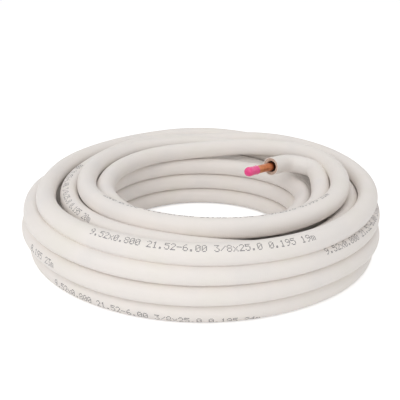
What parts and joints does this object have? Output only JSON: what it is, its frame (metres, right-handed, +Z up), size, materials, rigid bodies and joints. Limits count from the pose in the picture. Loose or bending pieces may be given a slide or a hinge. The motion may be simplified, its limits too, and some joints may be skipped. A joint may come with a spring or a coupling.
{
  "type": "insulated copper tube coil",
  "caption": "Coil of foam-jacketed copper refrigerant tube lying flat, with loose top turns and a capped bare copper end reaching into its centre.",
  "frame": {"origin": "on the coil's winding axis, at the floor it lies on", "axes": "+Z up along the winding axis; +Y towards the back of the pictured view; +X to its right"},
  "size_m": [0.4168, 0.4168, 0.0964],
  "materials": {
    "foam_jacket": "satin embossed film over foam",
    "copper": "plain drawn copper",
    "cap": "glossy soft plastic"
  },
  "bodies": {
    "root": {"insulation_jacket": "foam_jacket", "copper_tube": "copper", "end_cap": "cap"}
  },
  "joints": []
}
